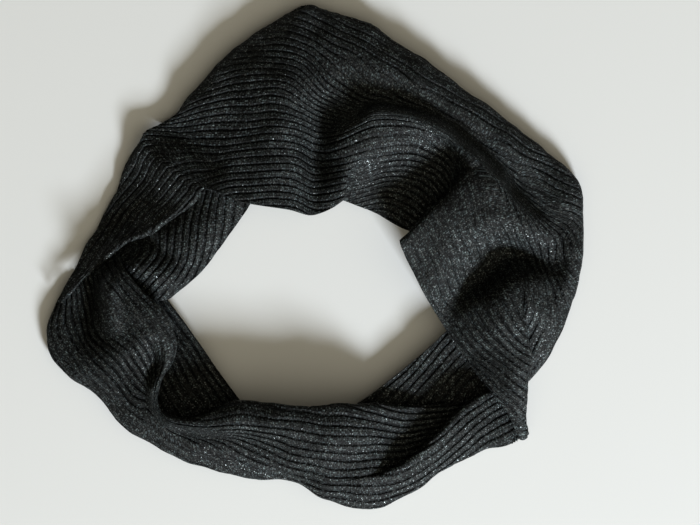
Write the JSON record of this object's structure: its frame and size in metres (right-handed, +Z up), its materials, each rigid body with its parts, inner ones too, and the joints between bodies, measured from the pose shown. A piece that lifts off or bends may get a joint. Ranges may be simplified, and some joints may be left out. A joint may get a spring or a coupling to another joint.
{
  "type": "infinity scarf",
  "caption": "Infinity scarf of black rib knit with fine glitter thread, laid flat in a loose, folded ring.",
  "frame": {"origin": "middle of the whole ring in plan, on the surface that it rests on", "axes": "+Z up from the surface, +X to the viewer's right along the ring's longest extent, +Y away from the viewer"},
  "size_m": [0.3751, 0.3502, 0.0378],
  "materials": {
    "top_outer_stretch": "matt rib knit with a faint glitter",
    "top_inner_stretch": "matt rib knit with a faint glitter",
    "left_flap_stretch": "matt rib knit with a faint glitter",
    "left_inner_stretch": "matt rib knit with a faint glitter",
    "lower_outer_stretch": "matt rib knit with a faint glitter",
    "lower_inner_stretch": "matt rib knit with a faint glitter",
    "under_left_stretch": "matt rib knit with a faint glitter",
    "under_right_stretch": "matt rib knit with a faint glitter",
    "hidden_layers": "matt rib knit"
  },
  "bodies": {
    "root": {"top_outer_stretch": "top_outer_stretch", "top_inner_stretch": "top_inner_stretch", "left_flap_stretch": "left_flap_stretch", "left_inner_stretch": "left_inner_stretch", "lower_outer_stretch": "lower_outer_stretch", "lower_inner_stretch": "lower_inner_stretch", "under_left_stretch": "under_left_stretch", "under_right_stretch": "under_right_stretch", "hidden_layers": "hidden_layers"}
  },
  "joints": []
}
